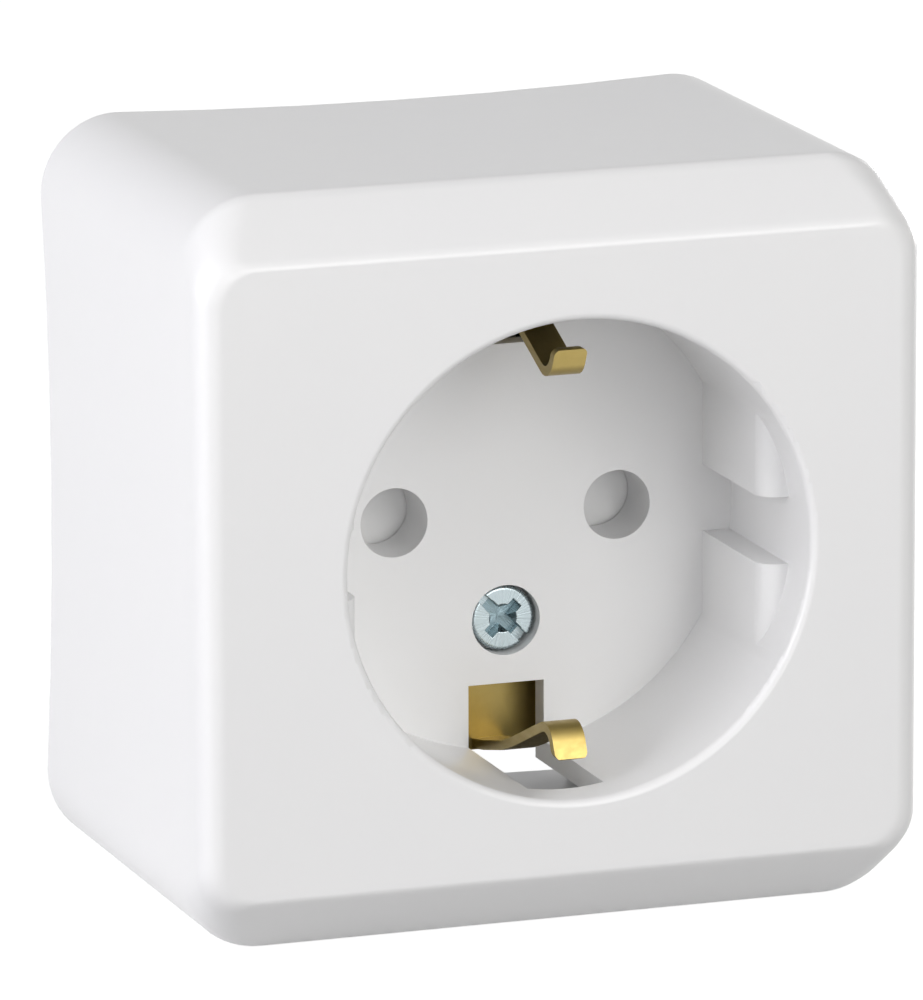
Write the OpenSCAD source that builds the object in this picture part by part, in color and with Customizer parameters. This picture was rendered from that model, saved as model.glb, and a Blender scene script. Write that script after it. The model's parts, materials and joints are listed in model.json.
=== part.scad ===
// Surface mounted earthed socket outlet with side earth clips and a shutter.
// Millimetres. X to the right, Z up, the front faces -Y.
// The origin is the centre of the face that lies against the wall (y = 0).

/* [Cover] */
// Width of the cover
cover_w = 60.6; // [59:0.2:70]
// Height of the cover
cover_h = 60.8; // [60:0.2:70]
// Depth from the wall to the front face
cover_d = 40.8; // [40:0.2:48]
// Wall of the cover
wall = 2.2; // [1.6:0.1:2.4]
// Height that the upper and lower front bevels take off
bevel_h = 4.95; // [3:0.05:6]
// Depth of the upper and lower front bevels
bevel_d = 5; // [3:0.1:6]
// Radius of the left and right front edges
side_r = 2.1; // [1:0.1:3]
// Corner radius of the flat front face
front_corner_r = 3; // [2.4:0.1:4]
// Corner radius of the sides
corner_r = 6.4; // [5:0.1:8]
// Softness of the bevel's two edges
edge_soft = 0.6; // [0.3:0.1:1]
// How far the middle of each side draws in at the wall
rear_sag = 0.6; // [0:0.1:0.8]
// Width of the thinned cable knock-outs
knockout_w = 14; // [10:1:20]
// Depth of the thinned cable knock-outs
knockout_d = 9; // [6:0.5:11]
// Thickness left in a knock-out
knockout_t = 0.8; // [0.6:0.1:1.2]

/* [Plug well] */
// Shift of the well's axis to the right of the middle
well_shift = 1.4; // [-1.4:0.1:1.4]
// Radius of the well
well_r = 19.4; // [19.2:0.1:19.8]
// Depth of the well
well_depth = 17.9; // [17.5:0.1:18.5]
// Rounding of the well's mouth
rim_r = 0.65; // [0.3:0.05:1]
// Wall of the well
tube_wall = 1.8; // [1.4:0.1:2]
// Thickness of the well's floor
floor_t = 2; // [1.6:0.1:2.4]
// Half distance between the two side lands
land_x = 16.9; // [16.6:0.1:17.4]
// Gap between the upper and the lower half of a land
land_gap = 5.5; // [5:0.1:6.4]
// Length of the lands from the floor
land_len = 13.3; // [11:0.1:14.5]
// Distance between the two pin holes
pin_pitch = 19; // [18.8:0.1:19.2]
// Radius of the pin holes
pin_hole_r = 2.85; // [2.7:0.05:2.9]
// Length of the pin holes' tunnels
pin_tunnel = 5.1; // [4:0.1:5.5]
// Radius of the bosses around the pin holes
boss_r = 4.2; // [4:0.1:4.2]
// Distance from the well's axis down to the cover screw
screw_drop = 8.8; // [8.7:0.1:9]
// Radius of the recess around the screw's head
recess_r = 2.9; // [2.8:0.05:3]

/* [Earth clips] */
// Width of the windows and wall slots for the clips
window_w = 6.45; // [6:0.05:7]
// How far the windows reach in from the well's wall
window_h = 5.4; // [5:0.1:5.6]
// Length of the slots in the well's wall
slot_len = 14; // [13:0.5:14.5]
// Thickness of the brass strip
strip_t = 0.8; // [0.6:0.05:0.9]
// Width of the clips
clip_w = 2.75; // [2.4:0.05:3.2]
// Width of the strap and of the legs that carry the tabs
strap_w = 6.4; // [6:0.1:6.6]
// Distance from the axis to the legs of the bracket
leg_z = 14.8; // [14.6:0.1:15]
// How far the clips' roots lie outside the well's wall
root_out = 0.3; // [0:0.1:0.5]
// How far the crests of the clips stand in from the well's wall
crest_in = 5.3; // [5:0.1:5.6]
// Distance from the well's floor to the crest of the clips
crest_depth = 12.9; // [12:0.1:13.4]
// Distance from the well's floor to the end of the clips' lips
lip_depth = 15.5; // [15.3:0.1:15.8]
// How far a lip turns back out from the crest
lip_rise = 2.5; // [2.3:0.1:2.8]
// Corner radius of a lip's end
lip_corner = 0.6; // [0.4:0.1:0.9]
// Width of the tabs that close the windows from behind
tab_w = 11.2; // [10.8:0.1:11.4]

/* [Contacts] */
// Thickness of the contacts' sheet
sheet_t = 0.9; // [0.8:0.05:1]
// Width of a contact's plate
plate_w = 8.2; // [8:0.1:8.4]
// Half gap of a contact's spring leaves at their waist
waist = 2.3; // [2.1:0.05:2.35]
// Height of the spring leaves
leaf_h = 6; // [5:0.1:6.4]
// Radius of the hole under each pin
pin_clear_r = 3.1; // [3:0.05:3.2]

/* [Terminals] */
// Room between the earth terminals and the cover's upper wall
earth_room = 3; // [2.8:0.1:3.2]
// Gap between the earth terminals and the line terminals
terminal_gap = 1.5; // [1.3:0.1:1.7]
// Distance of the earth terminals to either side
earth_x = 8.5; // [8.3:0.1:8.7]
// Radius of the terminal screws' shanks
shank_r = 1.7; // [1.6:0.05:1.75]
// Radius of the terminal screws' heads
head_r = 3.1; // [2.9:0.05:3.2]
// Height of the terminal screws' heads
head_h = 2; // [1.8:0.1:2.2]
// Side of the square clamp plates
clamp_w = 7.4; // [7:0.1:7.6]
// Thickness of the clamp plates
clamp_t = 1; // [0.8:0.1:1.1]
// Gap for the wires when a terminal is open
wire_gap = 2.6; // [2.4:0.1:2.8]

/* [Base] */
// Thickness of the base
base_t = 4.4; // [4:0.1:5]
// Clearance between the base and the cover
base_fit = 0.3; // [0.2:0.05:0.4]
// Thickness of the ribs
rib_t = 1; // [0.8:0.1:1.1]
// Material between a wall fixing slot and the edge of the base
fixing_edge = 2.7; // [2.4:0.1:3]
// Radius of the wall fixing slots
fixing_r = 2.2; // [2:0.05:2.4]
// Length of the wall fixing slots
fixing_len = 7; // [6:0.5:7]
// Distance from the axis to the edge of the lower cable notch
notch_z = 20.5; // [20.2:0.1:21]
// Half width of the lower cable notch
notch_half = 13.5; // [12:0.5:14]

/* [Shutter] */
// Thickness of the shutter
shutter_t = 3.2; // [3:0.1:3.4]
// Half height of the shutter
shutter_half = 4.3; // [4.2:0.05:4.3]
// Half width of a blocking pad
pad_half = 3.3; // [3.2:0.05:3.4]
// Running gap around the shutter
run_gap = 0.15; // [0.1:0.01:0.16]
// Room between the tray's end and the cover's side
tray_room = 3; // [2.6:0.1:3.2]
// Wire radius of the shutter's spring
wire_r = 0.2; // [0.15:0.01:0.22]
// Turns of the shutter's spring
spring_turns = 6; // [5:1:7]

/* [Hidden] */
$fn = 64;
eps = 0.01;
// Points along each side and each corner of the cover's outline
side_steps = 6;
corner_steps = 14;
ring_n = 4 * (side_steps + corner_steps);
front_y = -cover_d;
floor_y = front_y + well_depth;
floor_back = floor_y + floor_t;
boss_back = floor_y + pin_tunnel;
shutter_front = boss_back + run_gap;
shutter_back = shutter_front + shutter_t;
shutter_mid = (shutter_front + shutter_back) / 2;
tray_front = shutter_back + run_gap;
tray_t = 1;
tray_wall = 1;
tray_lip = 0.9;
tray_back = tray_front + tray_t;
plate_back = -base_t;
plate_front = plate_back - sheet_t;
strap_back = plate_front;
strap_front = strap_back - strip_t;
pole_x = pin_pitch / 2;
earth_z = cover_h / 2 - wall - earth_room - clamp_w / 2;
terminal_z = earth_z - clamp_w - terminal_gap;
base_half_x = cover_w / 2 - wall - rear_sag - base_fit;
base_half_z = cover_h / 2 - wall - rear_sag - base_fit;
fixing_x = base_half_x - fixing_edge - fixing_len / 2;
land_top = floor_y - land_len;
window_in = well_r - window_h;
root_z = well_r + root_out;
crest_z = well_r - crest_in;
// Rounding of the lands' front ends
land_soft = 1.8;
// Space behind the floor that the tab of the earth bracket stands off
tab_stand = 4.4;
tab_front = floor_y + tab_stand;
tab_back = tab_front + strip_t;
tube_r = well_r + tube_wall;
tower_r = 3.2;
screw_clear_r = 1.95;
screw_r = 1.75;
screw_head_r = recess_r - 0.25;
screw_head_y = floor_y + 0.7;
screw_head_h = 1.8;
// Depths of the cross in the two kinds of screw
cover_drive = 1.5;
terminal_drive = 1.1;
nut_w = 5.6;
nut_t = 2.6;
nut_fit = 0.1;
nut_front = plate_front + 0.2;
rivet_r = 1.2;
rivet_fit = 0.05;
rivet_head_r = 2;
rivet_head_h = 0.6;
// Radius of the boss that carries the strap around the nut
rest_r = nut_w / 2 + 2.2;
rest_half = strap_w / 2 + 0.3;
rivet_low = -screw_drop + rest_r + rivet_head_r + 0.8;
rivet_pitch = 8.5;
rivets_z = [rivet_low, rivet_low + rivet_pitch];
screw_y = plate_front - wire_gap - clamp_t;
shank_spare = 0.5;
shank_len = clamp_t + wire_gap + sheet_t + shank_spare;
collar_r = 2.6;
collar_len = 1.4;
collar_fit = 0.3;
thread_clear = 0.05;
// Depth of the pockets under the terminal screws
pocket_back = -0.9;
travel = 2 * pin_clear_r + 0.1;
window_half = pin_clear_r;
window_x = pole_x - travel;
shutter_left = -pole_x - pad_half;
shutter_right = pole_x + pad_half;
tray_left = shutter_left - run_gap - tray_wall;
tray_right = cover_w / 2 - wall - rear_sag - well_shift - tray_room;
spring_len = tray_right - tray_wall - shutter_right;
tray_in = shutter_half + run_gap;
tray_out = tray_in + tray_lip;
spring_r = 1.3;
// Radius of the pegs inside the spring's two ends
spring_peg_r = spring_r - 2 * wire_r - 0.1;
moving_peg = 1.6;
fixed_peg = 1.2;
lug_r = 2.1;
peg_r = 0.9;
lugs = [[-6.5, 7.6], [7.4, -7.6]];
leaf_gap = 0.4;
leaf_tip = tray_back + leaf_gap;
leaf_run = plate_front - leaf_tip;
// Room for the pins of a plug behind the floor
pin_room = 20.2;
pin_fit = 0.2;

// Falls by one for each unit of t up to zero, with its corner rounded over 2 e
function ramp(t, e) = t < -e ? -t : (t > e ? 0 : (e - t) * (e - t) / (4 * e));
function half_h(t) = cover_h / 2 - bevel_h / bevel_d * ramp(t - bevel_d, edge_soft)
  - (t < edge_soft ? edge_soft / 2 * pow(1 - t / edge_soft, 2) : 0);
function half_w(t) = cover_w / 2
  - (t < side_r ? side_r - sqrt(side_r * side_r - pow(side_r - t, 2)) : 0);
function corner(t) = t < bevel_d ? front_corner_r + (corner_r - front_corner_r) * t / bevel_d : corner_r;
function sag(t) = t < bevel_d ? 0 : rear_sag * (t - bevel_d) / (cover_d - bevel_d);
function turn(p, q) = [p[0] * cos(90 * q) - p[1] * sin(90 * q), p[0] * sin(90 * q) + p[1] * cos(90 * q)];
// One outline at depth t behind the front, taken in by inset all round
function outline(t, inset) = [
  for (q = [0:3])
  let (
    n = (q % 2 == 0 ? half_w(t) : half_h(t)) - inset,
    m = (q % 2 == 0 ? half_h(t) : half_w(t)) - inset,
    r = max(corner(t) - inset, 0.8)
  )
  for (p = concat(
    [for (i = [1:side_steps - 1]) let (u = 2 * i / side_steps - 1) [n - sag(t) * (1 - u * u), u * (m - r)]],
    [for (i = [0:corner_steps]) let (a = 90 * i / corner_steps) [n - r + r * cos(a), m - r + r * sin(a)]]
  )) turn(p, q)
];
outer_steps = [
  0, 0.12 * side_r, 0.3 * side_r, 0.6 * side_r, side_r, bevel_d - edge_soft, bevel_d,
  bevel_d + edge_soft, (bevel_d + cover_d) / 2, cover_d
];
inner_steps = [
  0, 0.3 * side_r, side_r, bevel_d - edge_soft, bevel_d + edge_soft,
  (bevel_d + cover_d) / 2, cover_d
];

// Skin through the outlines at the given depths, moved back by shift
module loft(steps, inset, shift) {
  last = len(steps) - 1;
  rings = [for (t = steps) for (p = outline(t, inset)) [p[0], front_y + t + shift, p[1]]];
  middles = [for (t = [steps[0], steps[last]]) [0, front_y + t + shift, 0]];
  sides = [
    for (k = [0:last - 1]) for (i = [0:ring_n - 1])
    let (j = (i + 1) % ring_n, a = k * ring_n, b = a + ring_n)
    for (f = [[a + i, b + j, b + i], [a + i, a + j, b + j]]) f
  ];
  caps = [
    for (i = [0:ring_n - 1])
    let (j = (i + 1) % ring_n, b = last * ring_n, m = len(rings))
    for (f = [[m, j, i], [m + 1, b + i, b + j]]) f
  ];
  polyhedron(concat(rings, middles), concat(sides, caps), convexity = 4);
}

// Lies along Y from y0 to y1, around the point x, z
module rod(r, y0, y1, x = 0, z = 0) {
  translate([x, y0, z]) rotate([-90, 0, 0]) cylinder(r = r, h = y1 - y0);
}

module block(x0, x1, y0, y1, z0, z1) {
  translate([x0, y0, z0]) cube([x1 - x0, y1 - y0, z1 - z0]);
}

module at_well() {
  translate([well_shift, 0, 0]) children();
}

// Child drawn once for the upper and once, mirrored, for the lower half
module both_z() {
  children();
  mirror([0, 0, 1]) children();
}

// Child drawn once to the right and once, mirrored, to the left
module both_x() {
  children();
  mirror([1, 0, 0]) children();
}

// Outline drawn in Y and Z, given a width along X
module across(width) {
  rotate([90, 0, 90]) translate([0, 0, -width / 2]) linear_extrude(width) children();
}

// Outline drawn in X and Y, given a height along Z
module upright(height) {
  translate([0, 0, -height / 2]) linear_extrude(height) children();
}

module land_half() {
  intersection() {
    rod(well_r + tube_wall / 2, front_y + 1, floor_back);
    translate([0, 0, land_gap / 2]) linear_extrude(well_r) {
      translate([land_x, land_top + land_soft]) square([tube_r - land_x, floor_back - land_top - land_soft]);
      translate([land_x + land_soft, land_top]) square([tube_r - land_x - land_soft, land_soft]);
      translate([land_x + land_soft, land_top + land_soft]) circle(land_soft);
    }
  }
}

module clip_passage() {
  block(-window_w / 2, window_w / 2, floor_y - eps, floor_back + eps, window_in, well_r);
  block(-window_w / 2, window_w / 2, floor_y - slot_len, floor_back + eps, well_r - 2, tube_r + 1);
}

module knockout_recess() {
  z_out = half_h(cover_d) - rear_sag - knockout_t;
  block(-knockout_w / 2, knockout_w / 2, -knockout_d, 1, z_out - wall, z_out);
}

module cover_body() {
  difference() {
    loft(outer_steps, 0, 0);
    loft(inner_steps, wall, wall);
    both_z() knockout_recess();
  }
}

module well_solid() {
  rod(tube_r, front_y + wall / 2, floor_back);
  both_x() rod(boss_r, floor_y + 0.5, boss_back, pole_x);
  rod(tower_r, floor_y + 0.5, strap_front, 0, -screw_drop);
  for (p = lugs) rod(peg_r, floor_y + 0.5, tray_back + 0.5, p[0], p[1]);
}

// Cuts the well's bore, its rounded mouth and nothing of the floor
module well_bore() {
  rod(well_r, front_y - 1, floor_y);
  translate([0, front_y, 0]) rotate([-90, 0, 0]) rotate_extrude() difference() {
    translate([well_r - 1, -1]) square([1 + rim_r, 1 + rim_r]);
    translate([well_r + rim_r, rim_r]) circle(rim_r);
  }
}

module cover() {
  color("white") difference() {
    union() {
      difference() {
        union() {
          cover_body();
          at_well() well_solid();
        }
        at_well() well_bore();
      }
      at_well() both_x() both_z() land_half();
    }
    at_well() {
      both_z() clip_passage();
      both_x() rod(pin_hole_r, floor_y - 1, boss_back + 1, pole_x);
      rod(recess_r, floor_y - 1, screw_head_y + screw_head_h, 0, -screw_drop);
      rod(screw_clear_r, floor_y, plate_front, 0, -screw_drop);
    }
  }
}

// Slot and cross in a screw's head, cut from the face at y
module drive(r, y, depth) {
  arm = r * 0.66;
  slot_half = 0.42;
  slot_depth = depth * 0.55;
  cross_half = 0.48;
  cone_r = arm * 0.68;
  block(-r - 1, r + 1, y - 1, y + slot_depth, -slot_half, slot_half);
  block(-arm, arm, y - 1, y + depth, -cross_half, cross_half);
  block(-cross_half, cross_half, y - 1, y + depth, -arm, arm);
  translate([0, y - eps, 0]) rotate([-90, 0, 0]) cylinder(r1 = cone_r, r2 = cross_half, h = depth);
}

module cover_screw() {
  tip = nut_front + nut_t + 0.4;
  color("lightsteelblue") at_well() translate([0, 0, -screw_drop]) difference() {
    union() {
      rod(screw_head_r, screw_head_y, screw_head_y + screw_head_h);
      rod(screw_r, screw_head_y + screw_head_h / 2, tip);
    }
    rotate([0, 45, 0]) drive(screw_head_r, screw_head_y, cover_drive);
  }
}

module cover_nut() {
  color("silver") at_well() translate([0, 0, -screw_drop]) difference() {
    block(-nut_w / 2, nut_w / 2, nut_front, nut_front + nut_t, -nut_w / 2, nut_w / 2);
    rod(screw_r + thread_clear, nut_front - 1, nut_front + nut_t + 1);
  }
}

module terminal_pocket(x, z) {
  rod(collar_r + collar_fit, plate_back - 1, plate_back + collar_len + collar_fit, x, z);
  rod(shank_r + 0.4, plate_back - 1, pocket_back, x, z);
}

module base_plate() {
  r = corner_r - wall;
  rotate([90, 0, 0]) linear_extrude(base_t) difference() {
    union() {
      square([2 * base_half_x, 2 * (base_half_z - r)], center = true);
      square([2 * (base_half_x - r), 2 * base_half_z], center = true);
      for (x = [-1, 1], z = [-1, 1]) translate([x * (base_half_x - r), z * (base_half_z - r)]) circle(r);
    }
    translate([well_shift - notch_half, -base_half_z - 1])
      square([2 * notch_half, base_half_z + 1 - notch_z]);
  }
}

module fixing_slot() {
  reach = fixing_len / 2 - fixing_r;
  both_x() rod(fixing_r, -base_t - 1, 1, reach);
  block(-reach, reach, -base_t - 1, 1, -fixing_r, fixing_r);
}

module partitions() {
  top = leaf_tip + 0.6;
  inner = strap_w / 2 + 0.5;
  outer = pole_x + plate_w / 2 + 0.3;
  reach = terminal_z + clamp_w / 2 + 0.6;
  both_x() block(inner, inner + rib_t, top, -base_t + eps, -reach, reach);
  both_x() block(outer, outer + rib_t, top, -base_t + eps, -reach, reach);
}

// Boss around the nut that carries the strap where no plate lies under it
module strap_rest() {
  rod(rest_r, strap_back, -base_t + eps, 0, -screw_drop);
}

module base() {
  color("whitesmoke") difference() {
    union() {
      base_plate();
      at_well() partitions();
      intersection() {
        at_well() strap_rest();
        at_well() block(-rest_half, rest_half, strap_back, 0, -leg_z, leg_z);
      }
    }
    at_well() {
      both_x() both_z() terminal_pocket(pole_x, terminal_z);
      both_x() terminal_pocket(earth_x, earth_z);
      both_x() rod(pin_clear_r + pin_fit, -base_t - 1, floor_y + pin_room, pole_x);
      translate([0, 0, -screw_drop]) {
        half = nut_w / 2 + nut_fit;
        block(-half, half, strap_back - 1, nut_front + nut_t, -half, half);
        rod(screw_clear_r, strap_back - 1, nut_front + nut_t + 0.8);
      }
      for (z = rivets_z) rod(rivet_head_r + 0.4, -base_t - 1, plate_back + rivet_head_h + 0.3, 0, z);
    }
    for (x = [-1, 1]) translate([x * fixing_x, 0, 0]) fixing_slot();
  }
}

// Bent leaf of a contact, as an outline in X and Y to the right of the pin
module leaf_outline() {
  x0 = plate_w / 2;
  waist_y = leaf_tip + 0.24 * leaf_run;
  bend_y = plate_front - 0.32 * leaf_run;
  polygon([
    [x0, plate_back], [x0, bend_y], [waist + sheet_t * 0.7, waist_y],
    [waist + 1.6, leaf_tip], [waist + 1, leaf_tip], [waist, waist_y],
    [x0 - sheet_t, bend_y - 0.2 * sheet_t], [x0 - sheet_t, plate_back]
  ]);
}

module contact() {
  reach = terminal_z + clamp_w / 2;
  neck = 2.6;
  difference() {
    union() {
      both_z() block(-plate_w / 2, plate_w / 2, plate_front, plate_back, terminal_z - clamp_w / 2, reach);
      block(-neck, neck, plate_front, plate_back, -terminal_z, terminal_z);
      block(-plate_w / 2, plate_w / 2, plate_front, plate_back, -leaf_h / 2, leaf_h / 2);
      both_x() upright(leaf_h) leaf_outline();
      both_z() rod(collar_r, plate_back - eps, plate_back + collar_len, 0, terminal_z);
    }
    both_z() rod(shank_r + thread_clear, plate_front - 1, plate_back + collar_len + 1, 0, terminal_z);
    rod(pin_clear_r, plate_front - 1, plate_back + 1);
  }
}

module contact_left() {
  color("goldenrod") at_well() translate([-pole_x, 0, 0]) contact();
}

module contact_right() {
  color("goldenrod") at_well() translate([pole_x, 0, 0]) contact();
}

function unit(a, b) = (b - a) / norm(b - a);
function normal(p, i) = let (
  d = unit(p[max(i - 1, 0)], p[min(i + 1, len(p) - 1)])
) [d[1], -d[0]];
// Strip of thickness t on the right side of a path
module strip(path, t) {
  n = len(path) - 1;
  polygon(concat(
    path,
    [for (i = [n:-1:0]) path[i] + t * normal(path, i)]
  ));
}

// Inner face of the upper clip in Y and Z: root, gentle rise, crest and turned-out lip
crest_r = 2.2;
rise_angle = 25;
lip_angle = 62;
bend_steps = 6;
bend_step = (rise_angle + lip_angle) / bend_steps;
clip_fall = root_z - crest_z;
clip_path = concat(
  [
    [tab_back, root_z],
    [floor_y + 0.14 * crest_depth, root_z - 0.11 * clip_fall],
    [floor_y - 0.21 * crest_depth, root_z - 0.3 * clip_fall],
    [floor_y - 0.4 * crest_depth, root_z - 0.46 * clip_fall]
  ],
  [
    for (i = [0:bend_steps])
    let (a = i * bend_step - rise_angle)
    [floor_y - crest_depth - crest_r * sin(a), crest_z + crest_r * (1 - cos(a))]
  ],
  [[floor_y - lip_depth, crest_z + lip_rise]]
);

// Front view of a clip in X and Z, with the two corners of its lip rounded
module clip_front() {
  top = crest_z + lip_rise + 0.1;
  translate([-clip_w / 2, 0]) square([clip_w, top - lip_corner]);
  translate([lip_corner - clip_w / 2, 0]) square([clip_w - 2 * lip_corner, top]);
  for (x = [-1, 1]) translate([x * (clip_w / 2 - lip_corner), top - lip_corner]) circle(lip_corner);
}

module clip() {
  bend_y = floor_y - crest_depth;
  intersection() {
    across(clip_w) strip(clip_path, strip_t);
    union() {
      block(-clip_w, clip_w, bend_y, 0, 0, root_z + strip_t);
      translate([0, bend_y + eps, 0]) rotate([90, 0, 0]) linear_extrude(cover_d) clip_front();
    }
  }
}

module bracket_half() {
  across(strap_w) polygon([
    [strap_back, -eps], [strap_back, leg_z + strip_t], [tab_front, leg_z + strip_t],
    [tab_front, leg_z], [strap_front, leg_z], [strap_front, -eps]
  ]);
  block(-tab_w / 2, tab_w / 2, tab_front, tab_back, leg_z, root_z + strip_t);
  clip();
}

module earth_bracket() {
  color("gold") at_well() difference() {
    both_z() bracket_half();
    rod(screw_clear_r, strap_front - 1, strap_back + 1, 0, -screw_drop);
    for (z = rivets_z) rod(rivet_r + rivet_fit, strap_front - 1, strap_back + 1, 0, z);
  }
}

module earth_plate() {
  half = earth_x + clamp_w / 2 + 0.2;
  stem = strap_w / 2 - 0.4;
  low = rivet_low - rivet_head_r - 0.4;
  color("gold") at_well() difference() {
    union() {
      block(-half, half, plate_front, plate_back, earth_z - clamp_w / 2, earth_z + clamp_w / 2);
      block(-stem, stem, plate_front, plate_back, low, earth_z);
      both_x() rod(collar_r, plate_back - eps, plate_back + collar_len, earth_x, earth_z);
    }
    both_x() rod(shank_r + thread_clear, plate_front - 1, plate_back + collar_len + 1, earth_x, earth_z);
    for (z = rivets_z) rod(rivet_r + rivet_fit, plate_front - 1, plate_back + 1, 0, z);
  }
}

module rivet(z) {
  color("gold") at_well() translate([0, 0, z]) {
    rod(rivet_r, strap_front - rivet_head_h / 2, plate_back + rivet_head_h / 2);
    rod(rivet_head_r, strap_front - rivet_head_h, strap_front);
    rod(rivet_head_r, plate_back, plate_back + rivet_head_h);
  }
}

module earth_rivet_upper() {
  rivet(rivets_z[1]);
}

module earth_rivet_lower() {
  rivet(rivets_z[0]);
}

// Terminal screw as delivered, backed off so that the wires go in
module terminal_screw(x, z) {
  color("silver") at_well() translate([x, 0, z]) difference() {
    union() {
      rod(head_r, screw_y - head_h, screw_y);
      rod(shank_r, screw_y - 1, screw_y + shank_len);
    }
    drive(head_r, screw_y - head_h, terminal_drive);
  }
}

// Square clamp plate with a groove for the wire on either side of the screw
module clamp(x, z) {
  half = clamp_w / 2;
  lip = 0.35;
  color("silver") at_well() translate([x, screw_y + clamp_t, z]) difference() {
    upright(clamp_w) polygon([
      [-half, -clamp_t], [half, -clamp_t], [half, 0], [half - 0.5, 0], [half - 1.2, -lip],
      [half - 1.9, 0], [1.9 - half, 0], [1.2 - half, -lip], [0.5 - half, 0], [-half, 0]
    ]);
    rod(shank_r + 0.2, -clamp_t - 1, 1);
  }
}

module terminal_screw_left_upper() {
  terminal_screw(-pole_x, terminal_z);
}

module terminal_screw_left_lower() {
  terminal_screw(-pole_x, -terminal_z);
}

module terminal_screw_right_upper() {
  terminal_screw(pole_x, terminal_z);
}

module terminal_screw_right_lower() {
  terminal_screw(pole_x, -terminal_z);
}

module terminal_screw_earth_left() {
  terminal_screw(-earth_x, earth_z);
}

module terminal_screw_earth_right() {
  terminal_screw(earth_x, earth_z);
}

module clamp_left_upper() {
  clamp(-pole_x, terminal_z);
}

module clamp_left_lower() {
  clamp(-pole_x, -terminal_z);
}

module clamp_right_upper() {
  clamp(pole_x, terminal_z);
}

module clamp_right_lower() {
  clamp(pole_x, -terminal_z);
}

module clamp_earth_left() {
  clamp(-earth_x, earth_z);
}

module clamp_earth_right() {
  clamp(earth_x, earth_z);
}

// Sloping front of a blocking pad: a pin that pushes it drives the shutter to the right
module pad_ramp(x) {
  upright(3 * shutter_half) translate([x, 0]) polygon([
    [-pad_half - 1, shutter_front - 1], [pad_half - 0.8, shutter_front - 1],
    [pad_half - 0.8, shutter_front], [-pad_half - 1, shutter_front + shutter_t * 0.55]
  ]);
}

module shutter() {
  color("white") at_well() difference() {
    union() {
      block(shutter_left, shutter_right, shutter_front, shutter_back, -shutter_half, shutter_half);
      translate([shutter_right - eps, shutter_mid, 0]) rotate([0, 90, 0])
        cylinder(r = spring_peg_r, h = moving_peg);
    }
    block(window_x - window_half, window_x + window_half,
      shutter_front - 1, shutter_back + 1, -window_half, window_half);
    pad_ramp(-pole_x);
    intersection() {
      pad_ramp(pole_x);
      block(0, tray_right, -cover_d, 0, -window_half, window_half);
    }
  }
}

// Round wire wound along X, with its ends flattened against the two seats
module shutter_spring() {
  sides = 8;
  per_turn = 16;
  count = spring_turns * per_turn;
  start = shutter_right + wire_r;
  length = spring_len - 2 * wire_r;
  points = [
    for (i = [0:count]) for (k = [0:sides - 1])
    let (a = 360 * i / per_turn, b = 360 * k / sides, r = spring_r - wire_r + wire_r * cos(b))
    [start + length * spring_rise(i / count) + wire_r * sin(b), r * cos(a), r * sin(a)]
  ];
  skin = [
    for (i = [0:count - 1]) for (k = [0:sides - 1])
    let (m = (k + 1) % sides, a = i * sides, b = a + sides)
    for (f = [[a + k, a + m, b + m], [a + k, b + m, b + k]]) f
  ];
  ends = [[for (k = [0:sides - 1]) sides - 1 - k], [for (k = [0:sides - 1]) count * sides + k]];
  color("silver") at_well() translate([0, shutter_mid, 0])
    polyhedron(points, concat(skin, ends), convexity = 12);
}

// Even rise with a closed turn at either end
function spring_rise(u) = let (
  closed = 0.8 / spring_turns, low = 2 * wire_r * 0.8 / spring_len
) u < closed ? low * u / closed : (u > 1 - closed ? 1 - low * (1 - u) / closed :
  low + (1 - 2 * low) * (u - closed) / (1 - 2 * closed));

module shutter_tray() {
  wall_front = floor_back + 0.1;
  color("gainsboro") at_well() difference() {
    union() {
      block(tray_left, tray_right, tray_front, tray_back, -tray_out, tray_out);
      both_z() block(tray_left, tray_right, wall_front, tray_back, tray_in, tray_out);
      block(tray_left, shutter_left - run_gap, shutter_front, tray_back, -tray_out, tray_out);
      block(tray_right - tray_wall, tray_right, wall_front, tray_back, -tray_out, tray_out);
      translate([tray_right - tray_wall - fixed_peg, shutter_mid, 0]) rotate([0, 90, 0])
        cylinder(r = spring_peg_r, h = fixed_peg + eps);
      for (p = lugs) rod(lug_r, tray_front, tray_back, p[0], p[1]);
      for (p = lugs) block(p[0] - lug_r, p[0] + lug_r, tray_front, tray_back, min(p[1], 0), max(p[1], 0));
    }
    both_x() rod(pin_clear_r, tray_front - 1, tray_back + 1, pole_x);
    for (p = lugs) rod(peg_r + 0.05, tray_front - 1, tray_back + 1, p[0], p[1]);
  }
}

cover();
cover_screw();
cover_nut();
base();
contact_left();
contact_right();
earth_bracket();
earth_plate();
earth_rivet_upper();
earth_rivet_lower();
terminal_screw_left_upper();
terminal_screw_left_lower();
terminal_screw_right_upper();
terminal_screw_right_lower();
terminal_screw_earth_left();
terminal_screw_earth_right();
clamp_left_upper();
clamp_left_lower();
clamp_right_upper();
clamp_right_lower();
clamp_earth_left();
clamp_earth_right();
shutter();
shutter_spring();
shutter_tray();
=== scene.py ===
import json
import math

import bmesh
import bpy
from mathutils import Matrix, Vector


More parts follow.
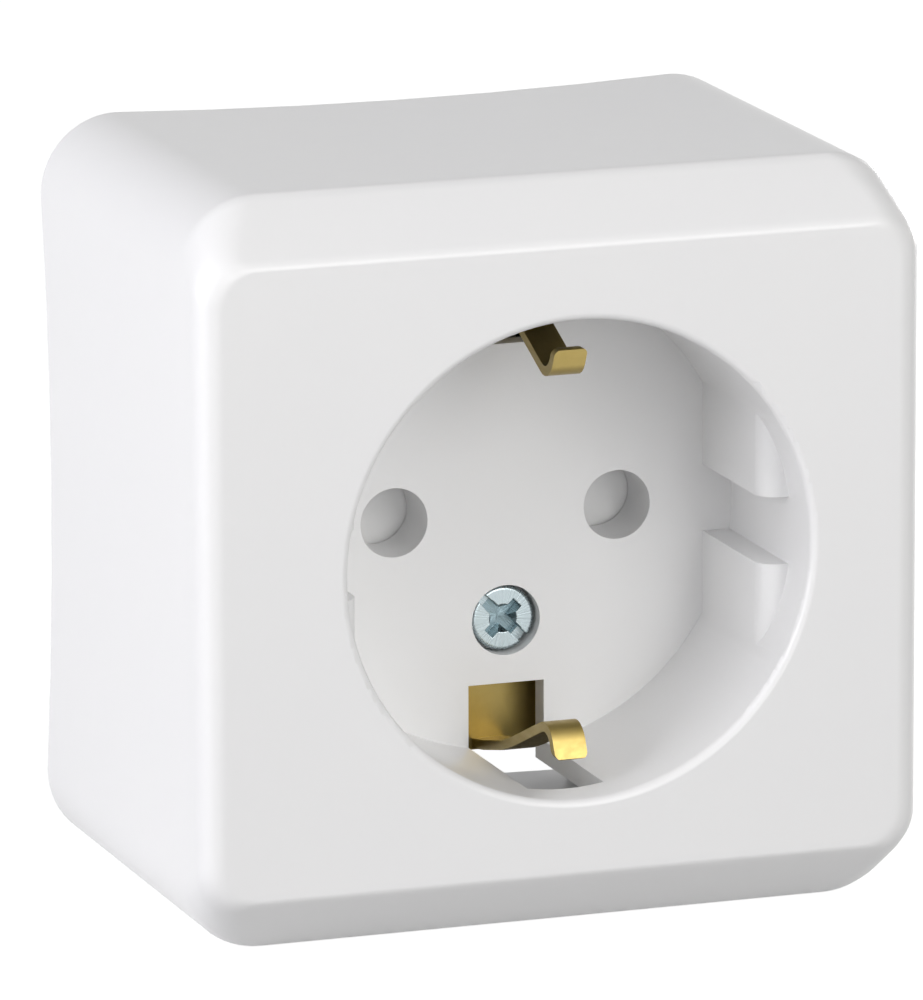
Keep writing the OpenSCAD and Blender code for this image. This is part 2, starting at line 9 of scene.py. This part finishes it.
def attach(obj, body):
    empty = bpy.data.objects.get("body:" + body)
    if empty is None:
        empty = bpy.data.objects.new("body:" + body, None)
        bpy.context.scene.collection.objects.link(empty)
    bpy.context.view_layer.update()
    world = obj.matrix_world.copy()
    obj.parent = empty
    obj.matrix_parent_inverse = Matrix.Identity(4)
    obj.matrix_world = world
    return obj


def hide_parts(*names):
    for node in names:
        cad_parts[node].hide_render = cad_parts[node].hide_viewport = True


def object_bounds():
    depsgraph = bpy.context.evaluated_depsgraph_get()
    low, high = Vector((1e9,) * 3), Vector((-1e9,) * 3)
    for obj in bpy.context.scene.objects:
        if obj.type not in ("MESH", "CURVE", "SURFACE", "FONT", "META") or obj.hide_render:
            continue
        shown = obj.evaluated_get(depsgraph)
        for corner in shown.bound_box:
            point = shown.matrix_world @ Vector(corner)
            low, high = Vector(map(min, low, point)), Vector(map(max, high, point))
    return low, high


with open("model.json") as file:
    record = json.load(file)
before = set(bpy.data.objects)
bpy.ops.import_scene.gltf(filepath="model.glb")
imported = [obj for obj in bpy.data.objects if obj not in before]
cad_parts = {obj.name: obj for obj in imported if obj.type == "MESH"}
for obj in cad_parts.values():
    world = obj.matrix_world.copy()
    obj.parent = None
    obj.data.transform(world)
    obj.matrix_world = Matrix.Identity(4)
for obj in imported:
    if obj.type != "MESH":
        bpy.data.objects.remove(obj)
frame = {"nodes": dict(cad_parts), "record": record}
cad_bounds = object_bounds()
scene = bpy.context.scene
MM = 0.001
MICRON = 0.000001

# Camera, fitted to the pin holes, the well's mouth and the cover's edges. Angles in radians
YAW, PITCH, ROLL = 0.339, 0.227, -0.003
FOCAL_PX, LONG_SIDE_PX, SENSOR_MM = 10749.779, 1000, 36.0
CLIP_NEAR, CLIP_FAR = 0.01, 20
# Where the well's axis meets the front plane, and how far to the right, up and ahead of
# the camera that point lies, in mm
AIM_POINT = (1.459, -40.8, -0.116)
AIM_RIGHT, AIM_UP, AIM_AHEAD = 9.575, -4.987, 847.339


def make_camera():
    right = Vector((math.cos(YAW), -math.sin(YAW), 0))
    ahead = Vector((
        math.sin(YAW) * math.cos(PITCH), math.cos(YAW) * math.cos(PITCH), -math.sin(PITCH)
    ))
    up = right.cross(ahead)
    right, up = (
        right * math.cos(ROLL) + up * math.sin(ROLL),
        up * math.cos(ROLL) - right * math.sin(ROLL),
    )
    aim = Vector(AIM_POINT) * MM
    place = aim - (right * AIM_RIGHT + up * AIM_UP + ahead * AIM_AHEAD) * MM
    data = bpy.data.cameras.new("camera")
    data.lens = FOCAL_PX * SENSOR_MM / LONG_SIDE_PX
    data.sensor_width = SENSOR_MM
    data.clip_start, data.clip_end = CLIP_NEAR, CLIP_FAR
    cam = bpy.data.objects.new("camera", data)
    cam.matrix_world = Matrix((
        (right.x, up.x, -ahead.x, place.x),
        (right.y, up.y, -ahead.y, place.y),
        (right.z, up.z, -ahead.z, place.z),
        (0, 0, 0, 1),
    ))
    scene.collection.objects.link(cam)
    scene.camera = cam


# Materials. A noise scale is about how many features it has in a metre
PLASTIC_IOR = 1.52
PLASTIC_TINT_SCALE, PLASTIC_GLOSS_SCALE = 90, 700
PLASTIC_GRAIN_HEIGHT = 20 * MICRON
METAL_TINT_SCALE = 260
METAL_RELIEF_HEIGHT = 10 * MICRON
# A screw's marks round its head, and where its drive lies in its length, as shares from 0
SCREW_MARKS, SCREW_MARK_STRENGTH = 70, 0.5
SCREW_MARK_HEIGHT = 30 * MICRON
# Between these shares of its length the screw's colour turns darker, as painted shade in its
# drive
DRIVE_TOP, DRIVE_FLOOR = 0.03, 0.09


def start(name):
    mat = bpy.data.materials.new(name)
    mat.use_nodes = True
    tree = mat.node_tree
    tree.nodes.clear()
    out = tree.nodes.new("ShaderNodeOutputMaterial")
    shader = tree.nodes.new("ShaderNodeBsdfPrincipled")
    tree.links.new(shader.outputs["BSDF"], out.inputs["Surface"])
    return mat, tree, shader


def noise(tree, scale, detail=3.0, stretch=(1, 1, 1)):
    coord = tree.nodes.new("ShaderNodeTexCoord")
    mapping = tree.nodes.new("ShaderNodeMapping")
    mapping.inputs["Scale"].default_value = stretch
    tex = tree.nodes.new("ShaderNodeTexNoise")
    tex.inputs["Scale"].default_value = scale
    tex.inputs["Detail"].default_value = detail
    tree.links.new(coord.outputs["Object"], mapping.inputs["Vector"])
    tree.links.new(mapping.outputs["Vector"], tex.inputs["Vector"])
    return tex.outputs["Fac"]


def spread(tree, value, low, high):
    node = tree.nodes.new("ShaderNodeMapRange")
    node.interpolation_type = "SMOOTHSTEP"
    node.inputs["To Min"].default_value = low
    node.inputs["To Max"].default_value = high
    tree.links.new(value, node.inputs["Value"])
    return node.outputs["Result"]


def tint(tree, value, first, second):
    ramp = tree.nodes.new("ShaderNodeValToRGB")
    ramp.color_ramp.interpolation = "EASE"
    ramp.color_ramp.elements[0].position = 0
    ramp.color_ramp.elements[0].color = (*first, 1)
    ramp.color_ramp.elements[1].position = 1
    ramp.color_ramp.elements[1].color = (*second, 1)
    tree.links.new(value, ramp.inputs["Fac"])
    return ramp.outputs["Color"]


# From 0 at the share low of a piece's length to 1 at the share high, from its front end
def depth(tree, low, high):
    coord = tree.nodes.new("ShaderNodeTexCoord")
    split = tree.nodes.new("ShaderNodeSeparateXYZ")
    node = tree.nodes.new("ShaderNodeMapRange")
    node.inputs["From Min"].default_value = low
    node.inputs["From Max"].default_value = high
    tree.links.new(coord.outputs["Generated"], split.inputs["Vector"])
    tree.links.new(split.outputs["Y"], node.inputs["Value"])
    return node.outputs["Result"]


def bump(tree, value, strength, height):
    node = tree.nodes.new("ShaderNodeBump")
    node.inputs["Strength"].default_value = strength
    node.inputs["Distance"].default_value = height
    tree.links.new(value, node.inputs["Height"])
    return node.outputs["Normal"]


# Fine marks that run out from a turned piece's own axis
def spokes(tree, count):
    coord = tree.nodes.new("ShaderNodeTexCoord")
    middle = tree.nodes.new("ShaderNodeMapping")
    middle.inputs["Location"].default_value = (-0.5, -0.5, -0.5)
    turn = tree.nodes.new("ShaderNodeMapping")
    turn.inputs["Rotation"].default_value = (-math.pi / 2, 0, 0)
    angle = tree.nodes.new("ShaderNodeTexGradient")
    angle.gradient_type = "RADIAL"
    marks = tree.nodes.new("ShaderNodeTexNoise")
    marks.noise_dimensions = "1D"
    marks.inputs["Scale"].default_value = count
    marks.inputs["Detail"].default_value = 3
    tree.links.new(coord.outputs["Generated"], middle.inputs["Vector"])
    tree.links.new(middle.outputs["Vector"], turn.inputs["Vector"])
    tree.links.new(turn.outputs["Vector"], angle.inputs["Vector"])
    tree.links.new(angle.outputs["Fac"], marks.inputs["W"])
    return marks.outputs["Fac"]


# Moulded plastic: two near tints, uneven gloss and a fine grain
def plastic(name, first, second, rough, grain, strength):
    mat, tree, shader = start(name)
    shader.inputs["IOR"].default_value = PLASTIC_IOR
    link = tree.links.new
    link(tint(tree, noise(tree, PLASTIC_TINT_SCALE), first, second), shader.inputs["Base Color"])
    link(spread(tree, noise(tree, PLASTIC_GLOSS_SCALE), *rough), shader.inputs["Roughness"])
    relief = noise(tree, grain, 2)
    link(bump(tree, relief, strength, PLASTIC_GRAIN_HEIGHT), shader.inputs["Normal"])
    return mat


# Sheet, plate or wire: its marks run along the axis that stretch makes small
def metal(name, first, second, rough, scale, stretch, strength):
    mat, tree, shader = start(name)
    shader.inputs["Metallic"].default_value = 1
    link = tree.links.new
    link(tint(tree, noise(tree, METAL_TINT_SCALE), first, second), shader.inputs["Base Color"])
    link(spread(tree, noise(tree, scale, 4, stretch), *rough), shader.inputs["Roughness"])
    relief = noise(tree, scale * 2, 4, stretch)
    link(bump(tree, relief, strength, METAL_RELIEF_HEIGHT), shader.inputs["Normal"])
    return mat


# Zinc on a screw: marks from its axis, and its colour painted darker where the drive goes down,
# as painted shade in the drive's recess
def screw_metal(name, face, drive_shade, rough):
    mat, tree, shader = start(name)
    shader.inputs["Metallic"].default_value = 1
    link = tree.links.new
    marks = spokes(tree, SCREW_MARKS)
    # Painted shade: the colour goes darker down into the drive's recess
    painted_drive_shade = depth(tree, DRIVE_TOP, DRIVE_FLOOR)
    link(tint(tree, painted_drive_shade, face, drive_shade), shader.inputs["Base Color"])
    link(spread(tree, marks, *rough), shader.inputs["Roughness"])
    relief = bump(tree, marks, SCREW_MARK_STRENGTH, SCREW_MARK_HEIGHT)
    link(relief, shader.inputs["Normal"])
    return mat


MATERIALS = {
    "cover_plastic": plastic(
        "cover_plastic", (0.845, 0.845, 0.85), (0.855, 0.855, 0.855),
        rough=(0.29, 0.35), grain=800, strength=0.008,
    ),
    "base_plastic": plastic(
        "base_plastic", (0.8, 0.8, 0.79), (0.83, 0.83, 0.82),
        rough=(0.42, 0.55), grain=3800, strength=0.1,
    ),
    "shutter_plastic": plastic(
        "shutter_plastic", (0.9, 0.9, 0.9), (0.93, 0.93, 0.925),
        rough=(0.4, 0.5), grain=3800, strength=0.1,
    ),
    "brass": metal(
        "brass", (0.32, 0.24, 0.075), (0.43, 0.33, 0.12),
        rough=(0.28, 0.5), scale=2500, stretch=(1, 0.08, 1), strength=0.3,
    ),
    "zinc_steel": metal(
        "zinc_steel", (0.32, 0.4, 0.43), (0.45, 0.53, 0.56),
        rough=(0.26, 0.4), scale=900, stretch=(1, 1, 1), strength=0.2,
    ),
    "spring_steel": metal(
        "spring_steel", (0.5, 0.5, 0.51), (0.6, 0.6, 0.61),
        rough=(0.25, 0.4), scale=1500, stretch=(0.2, 1, 1), strength=0.2,
    ),
    # The screw's second colour is painted shade for its drive's recess
    "screw": screw_metal("screw", (0.44, 0.51, 0.53), (0.2, 0.28, 0.31), rough=(0.2, 0.36)),
}
SLOTS = {s["node"]: s["material_slot"] for s in frame["record"]["subparts"]}
BODIES = {
    n: body for body, nodes in frame["record"]["behaviour"]["bodies"].items() for n in nodes
}


# A node's material is its slot's, but the screws have one of their own
def finish(node):
    return MATERIALS["screw" if "screw" in node else SLOTS[node]]


# Pieces shown as a cleaned copy, with the width of their softened edges
SOFT_EDGES = {
    "cover": 0.4 * MM,
    "cover_screw": 0.06 * MM,
    "earth_bracket": 0.1 * MM,
    "shutter": 0.1 * MM,
    "base": 0.16 * MM,
}
# Width of the rounding round a screw's head
RIMS = {"cover_screw": 0.3 * MM}
# A point is on the rim from this share of the head's radius, and this near its front plane
RIM_SHARE, RIM_DEPTH = 0.97, 10 * MICRON
# Points nearer than WELD are joined, and faces that turn less than FLAT degrees
WELD, FLAT = 2 * MICRON, 0.2
# Edges that turn more than this are sharp, in degrees
SHARP = 32.0


# Rounds the outer edge of a turned head at the piece's front end
def round_rim(bm, width):
    lo = Vector([min(v.co[k] for v in bm.verts) for k in range(3)])
    hi = Vector([max(v.co[k] for v in bm.verts) for k in range(3)])
    axis = (lo + hi) / 2
    radius = (hi.x - lo.x) / 2

    def at_rim(v):
        out = math.hypot(v.co.x - axis.x, v.co.z - axis.z)
        return v.co.y < lo.y + RIM_DEPTH and out > RIM_SHARE * radius

    rim = [e for e in bm.edges if all(at_rim(v) for v in e.verts)]
    bmesh.ops.bevel(
        bm, geom=rim, offset=width, segments=4, profile=0.5, affect="EDGES",
        clamp_overlap=False,
    )


# A copy of a CAD node's mesh with clean faces and smooth shading
def clean_mesh(node):
    mesh = frame["nodes"][node].data.copy()
    mesh.name = node + "_finish"
    if "custom_normal" in mesh.attributes:
        mesh.attributes.remove(mesh.attributes["custom_normal"])
    bm = bmesh.new()
    bm.from_mesh(mesh)
    bmesh.ops.remove_doubles(bm, verts=bm.verts, dist=WELD)
    bmesh.ops.dissolve_limit(
        bm, angle_limit=math.radians(FLAT), use_dissolve_boundaries=False,
        verts=bm.verts, edges=bm.edges,
    )
    if node in RIMS:
        round_rim(bm, RIMS[node])
    for face in bm.faces:
        face.smooth = True
    bm.to_mesh(mesh)
    bm.free()
    mesh.set_sharp_from_angle(angle=math.radians(SHARP))
    mesh.materials.clear()
    mesh.materials.append(finish(node))
    return mesh


# The piece that stands for a CAD node, with softened edges
def dress(node):
    piece = bpy.data.objects.new(node + "_finish", clean_mesh(node))
    scene.collection.objects.link(piece)
    soften = piece.modifiers.new("soften", "BEVEL")
    soften.width = SOFT_EDGES[node]
    soften.segments = 2
    soften.limit_method = "ANGLE"
    soften.angle_limit = math.radians(SHARP)
    soften.use_clamp_overlap = True
    weigh = piece.modifiers.new("weigh", "WEIGHTED_NORMAL")
    weigh.keep_sharp = True
    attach(piece, BODIES[node])
    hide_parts(node)


def dress_all():
    for node, obj in frame["nodes"].items():
        if node in SOFT_EDGES:
            dress(node)
            continue
        for place in obj.material_slots:
            place.material = finish(node)


# Surroundings: grey under the lamps, and bright to the camera and in reflections
AMBIENT = 0.08
FLOOR_GREY, FLOOR_ROUGH, FLOOR_GLOW = 0.45, 0.9, 0.85
FLOOR_HALF_SIDE = 6
FLOOR_GAP = 0.05 * MM


# 1 for what the camera sees, straight or through gloss or glass, and 0 for other light
def camera_side(tree):
    path = tree.nodes.new("ShaderNodeLightPath")
    seen = path.outputs["Is Camera Ray"]
    for name in ("Is Glossy Ray", "Is Transmission Ray"):
        more = tree.nodes.new("ShaderNodeMath")
        more.operation = "MAXIMUM"
        tree.links.new(seen, more.inputs[0])
        tree.links.new(path.outputs[name], more.inputs[1])
        seen = more.outputs[0]
    return seen


def make_world():
    world = bpy.data.worlds.new("studio")
    scene.world = world
    world.use_nodes = True
    tree = world.node_tree
    tree.nodes.clear()
    out = tree.nodes.new("ShaderNodeOutputWorld")
    mix = tree.nodes.new("ShaderNodeMixShader")
    light = tree.nodes.new("ShaderNodeBackground")
    white = tree.nodes.new("ShaderNodeBackground")
    for background, strength in ((light, AMBIENT), (white, 1)):
        background.inputs["Color"].default_value = (1, 1, 1, 1)
        background.inputs["Strength"].default_value = strength
    tree.links.new(camera_side(tree), mix.inputs["Fac"])
    tree.links.new(light.outputs["Background"], mix.inputs[1])
    tree.links.new(white.outputs["Background"], mix.inputs[2])
    tree.links.new(mix.outputs["Shader"], out.inputs["Surface"])


def floor_material():
    mat, tree, shader = start("floor")
    shader.inputs["Base Color"].default_value = (FLOOR_GREY, FLOOR_GREY, FLOOR_GREY, 1)
    shader.inputs["Roughness"].default_value = FLOOR_ROUGH
    shader.inputs["Specular IOR Level"].default_value = 0
    glow = tree.nodes.new("ShaderNodeEmission")
    both = tree.nodes.new("ShaderNodeAddShader")
    out = next(n for n in tree.nodes if n.type == "OUTPUT_MATERIAL")
    scale = tree.nodes.new("ShaderNodeMath")
    scale.operation = "MULTIPLY"
    scale.inputs[1].default_value = FLOOR_GLOW
    tree.links.new(camera_side(tree), scale.inputs[0])
    tree.links.new(scale.outputs["Value"], glow.inputs["Strength"])
    tree.links.new(shader.outputs["BSDF"], both.inputs[0])
    tree.links.new(glow.outputs["Emission"], both.inputs[1])
    tree.links.new(both.outputs["Shader"], out.inputs["Surface"])
    return mat


def make_floor():
    mesh = bpy.data.meshes.new("floor")
    bm = bmesh.new()
    bmesh.ops.create_grid(bm, x_segments=1, y_segments=1, size=FLOOR_HALF_SIDE)
    bm.to_mesh(mesh)
    bm.free()
    mesh.materials.append(floor_material())
    floor = bpy.data.objects.new("floor", mesh)
    floor.location.z = cad_bounds[0].z - FLOOR_GAP
    scene.collection.objects.link(floor)


# Lamps: name, direction from the socket, distance in m, side in m, power in W, colour
COOL, PLAIN, WARM = (0.975, 0.97, 1), (1, 1, 1), (1, 0.99, 0.97)
LAMPS = (
    ("left_box", (-1, -0.2, 0.1), 0.75, 0.6, 4.6, COOL),
    ("left_high", (-1, -0.3, 0.6), 0.6, 0.5, 1.5, COOL),
    ("key", (0.35, -1, 0.43), 0.75, 0.35, 1.6, WARM),
    ("key_high", (0.5, -0.9, 0.9), 0.75, 0.4, 0.95, WARM),
    ("axis_fill", (0, -1, 0.05), 0.75, 0.4, 1.2, PLAIN),
    ("right_back", (1.1, 1, 0.1), 0.75, 0.2, 3.0, PLAIN),
)
# The middle of the socket, about which the lamps stand
LIT_POINT = Vector((0, -0.02, 0))


def make_light(name, direction, distance, side, watts, colour):
    data = bpy.data.lights.new(name, "AREA")
    data.shape = "SQUARE"
    data.size = side
    data.energy = watts
    data.color = colour
    lamp = bpy.data.objects.new(name, data)
    away = Vector(direction).normalized()
    lamp.location = LIT_POINT + away * distance
    lamp.rotation_mode = "QUATERNION"
    lamp.rotation_quaternion = away.to_track_quat("Z", "Y")
    lamp.visible_camera = False
    scene.collection.objects.link(lamp)


make_camera()
dress_all()
make_world()
make_floor()
for lamp_values in LAMPS:
    make_light(*lamp_values)

scene.view_settings.view_transform = "Standard"
bpy.context.view_layer.update()
